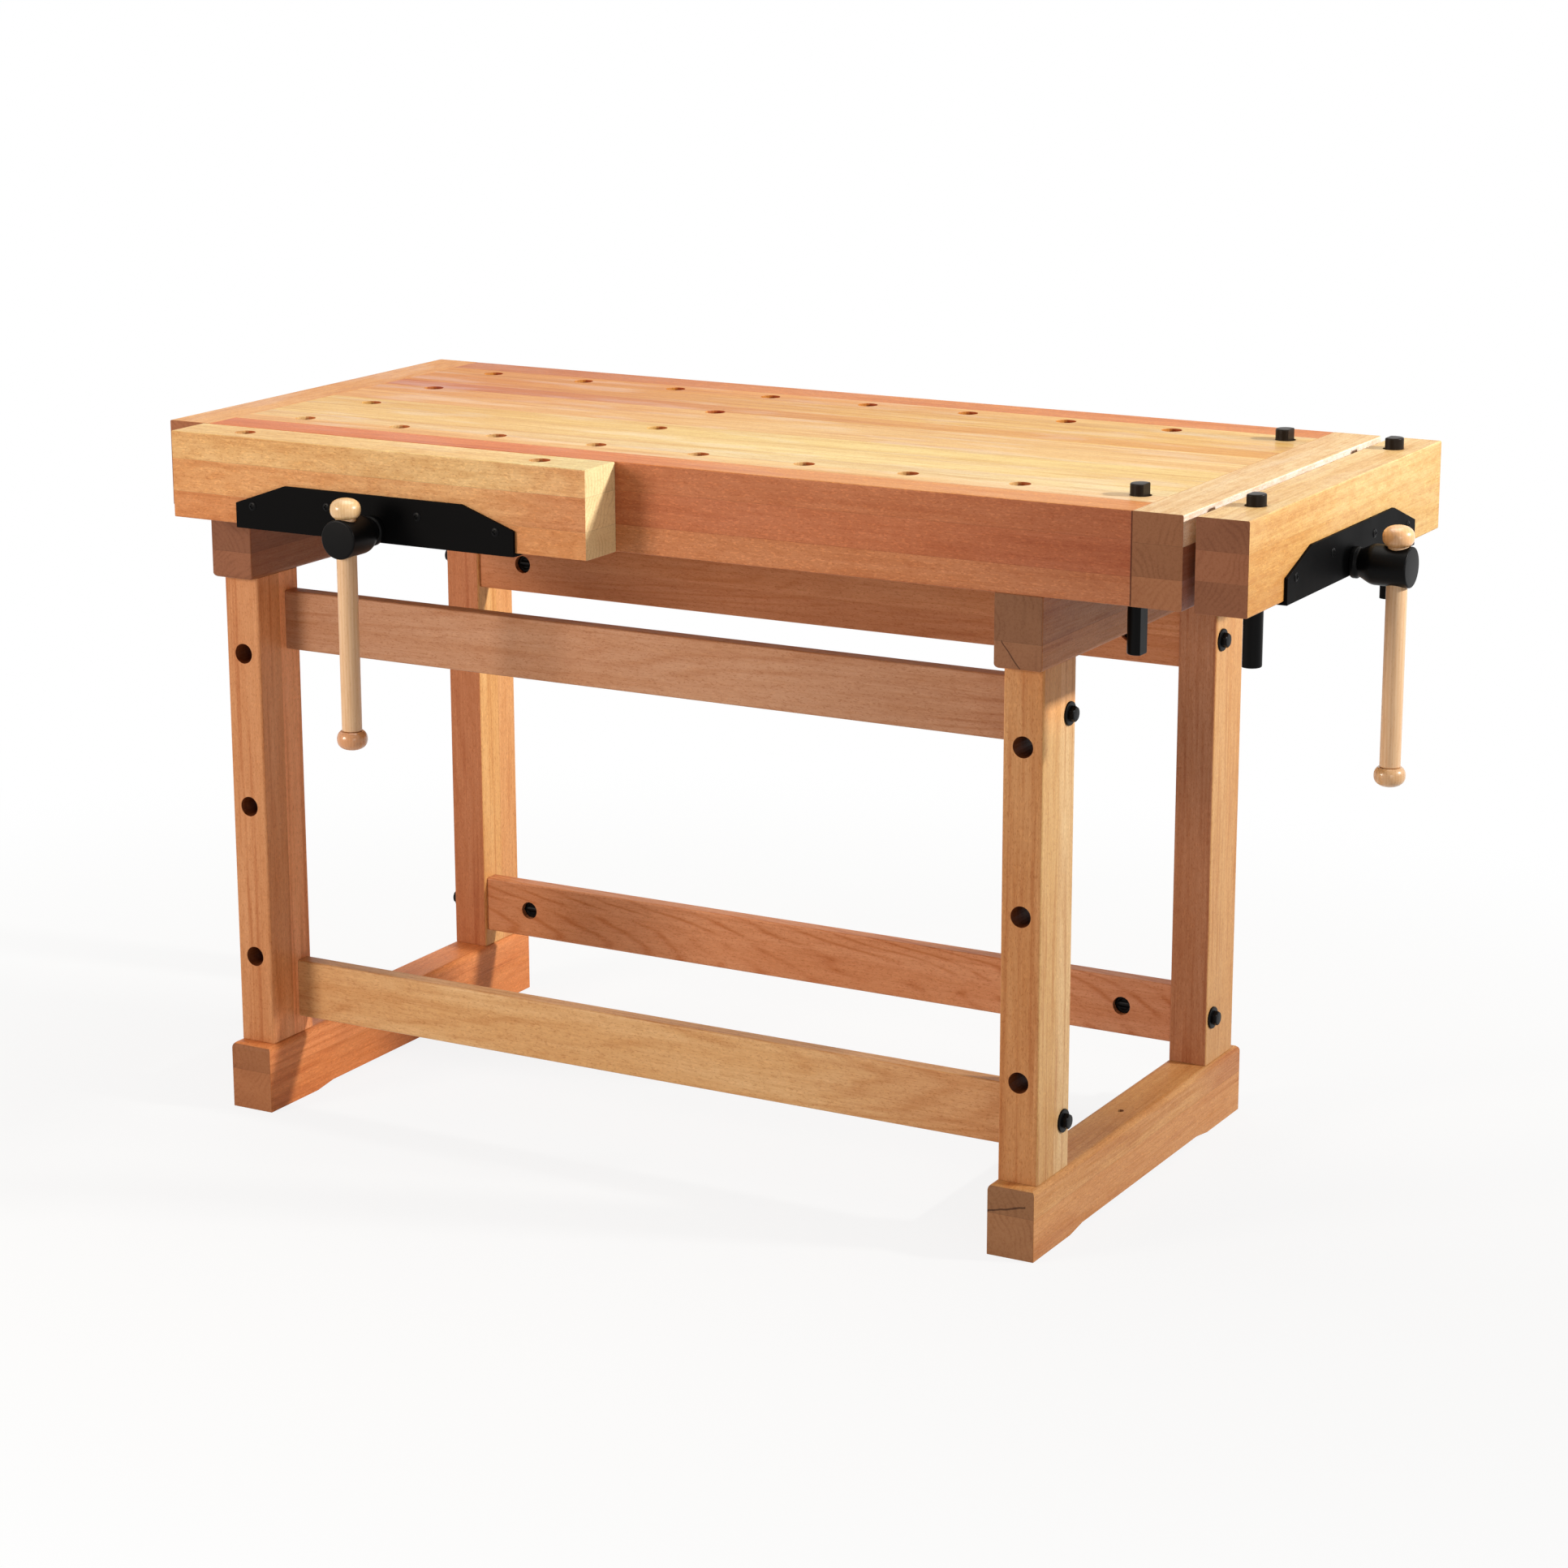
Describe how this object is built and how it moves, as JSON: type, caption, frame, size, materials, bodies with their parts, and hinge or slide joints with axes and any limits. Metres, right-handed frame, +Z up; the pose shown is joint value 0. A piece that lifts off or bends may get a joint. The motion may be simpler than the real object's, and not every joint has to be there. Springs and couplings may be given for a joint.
{
  "type": "woodworking bench",
  "caption": "Beech woodworking bench on trestle legs, with a front vise, a full-width end vise, wooden vise handles, and steel dogs in its rows of dog holes.",
  "frame": {"origin": "middle of the bounding box's footprint, on the floor", "axes": "+X along the bench towards the end vise, +Y from the front vise's side to the back, +Z up"},
  "size_m": [1.5666, 0.7799, 0.934],
  "materials": {
    "top_beech": "oiled beech, satin",
    "frame_beech": "oiled beech, satin",
    "jaw_beech": "oiled beech, satin",
    "handle_beech": "oiled beech, satin",
    "knob_beech": "varnished beech, gloss",
    "black_steel": "black satin",
    "dog_steel": "blackened steel, satin",
    "bright_steel": "bright steel"
  },
  "bodies": {
    "bench": {"left_end_cap": "top_beech", "right_end_cap": "top_beech", "front_dog_rail": "top_beech", "rear_dog_rail": "top_beech", "middle_panel": "top_beech", "front_apron": "frame_beech", "rear_apron": "frame_beech", "left_foot": "frame_beech", "left_bearer": "frame_beech", "left_front_leg": "frame_beech", "left_rear_leg": "frame_beech", "right_foot": "frame_beech", "right_bearer": "frame_beech", "right_front_leg": "frame_beech", "right_rear_leg": "frame_beech", "front_upper_rail": "frame_beech", "front_lower_rail": "frame_beech", "rear_upper_rail": "frame_beech", "rear_lower_rail": "frame_beech", "left_front_upper_rail_bolt": "black_steel", "left_front_lower_rail_bolt": "black_steel", "left_rear_upper_rail_bolt": "black_steel", "left_rear_lower_rail_bolt": "black_steel", "right_front_upper_rail_bolt": "black_steel", "right_front_lower_rail_bolt": "black_steel", "right_rear_upper_rail_bolt": "black_steel", "right_rear_lower_rail_bolt": "black_steel", "left_front_upper_barrel_nut": "bright_steel", "left_front_lower_barrel_nut": "bright_steel", "left_rear_upper_barrel_nut": "bright_steel", "left_rear_lower_barrel_nut": "bright_steel", "right_front_upper_barrel_nut": "bright_steel", "right_front_lower_barrel_nut": "bright_steel", "right_rear_upper_barrel_nut": "bright_steel", "right_rear_lower_barrel_nut": "bright_steel", "front_vise_bracket": "black_steel", "end_vise_bracket": "black_steel"},
    "front_jaw": {"front_vise_jaw": "jaw_beech", "front_vise_plate": "black_steel", "front_vise_left_guide": "bright_steel", "front_vise_right_guide": "bright_steel"},
    "front_screw": {"front_vise_screw": "black_steel", "front_vise_collar": "bright_steel"},
    "front_handle": {"front_vise_handle": "handle_beech", "front_vise_top_knob": "knob_beech", "front_vise_bottom_knob": "knob_beech"},
    "end_jaw": {"end_vise_jaw": "jaw_beech", "end_vise_plate": "black_steel", "end_vise_left_guide": "bright_steel", "end_vise_right_guide": "bright_steel"},
    "end_screw": {"end_vise_screw": "black_steel", "end_vise_collar": "bright_steel"},
    "end_handle": {"end_vise_handle": "handle_beech", "end_vise_top_knob": "knob_beech", "end_vise_bottom_knob": "knob_beech"},
    "front_bench_dog": {"front_bench_dog": "dog_steel"},
    "rear_bench_dog": {"rear_bench_dog": "dog_steel"},
    "front_jaw_dog": {"front_jaw_dog": "dog_steel"},
    "rear_jaw_dog": {"rear_jaw_dog": "dog_steel"}
  },
  "joints": [
    {"name": "front_jaw_slide", "type": "slide", "parent": "bench", "child": "front_jaw", "axis": [0, -1, 0], "range_m": [0, 0.145]},
    {"name": "front_screw_turn", "type": "hinge", "parent": "front_jaw", "child": "front_screw", "pos_m": [-0.42135, -0.344, 0.8205], "axis": [0, -1, 0], "range_deg": [0, 10418.4]},
    {"name": "front_handle_slide", "type": "slide", "parent": "front_screw", "child": "front_handle", "axis": [0, 0, 1], "range_m": [0, 0.216]},
    {"name": "end_jaw_slide", "type": "slide", "parent": "bench", "child": "end_jaw", "axis": [1, 0, 0], "range_m": [-0.0147, 0.1301]},
    {"name": "end_screw_turn", "type": "hinge", "parent": "end_jaw", "child": "end_screw", "pos_m": [0.72665, 0.0695, 0.8205], "axis": [1, 0, 0], "range_deg": [-1058.4, 9360]},
    {"name": "end_handle_slide", "type": "slide", "parent": "end_screw", "child": "end_handle", "axis": [0, 0, 1], "range_m": [0, 0.216]},
    {"name": "front_bench_dog_slide", "type": "slide", "parent": "bench", "child": "front_bench_dog", "axis": [0, 0, 1], "range_m": [-0.013, 0.06]},
    {"name": "rear_bench_dog_slide", "type": "slide", "parent": "bench", "child": "rear_bench_dog", "axis": [0, 0, 1], "range_m": [-0.013, 0.06]},
    {"name": "front_jaw_dog_slide", "type": "slide", "parent": "end_jaw", "child": "front_jaw_dog", "axis": [0, 0, 1], "range_m": [-0.013, 0.06]},
    {"name": "rear_jaw_dog_slide", "type": "slide", "parent": "end_jaw", "child": "rear_jaw_dog", "axis": [0, 0, 1], "range_m": [-0.013, 0.06]}
  ],
  "couplings": [
    {"joint": "front_jaw_slide", "follows": "front_screw_turn", "m_per_rad": 0.00079577},
    {"joint": "end_jaw_slide", "follows": "end_screw_turn", "m_per_rad": 0.00079577}
  ]
}
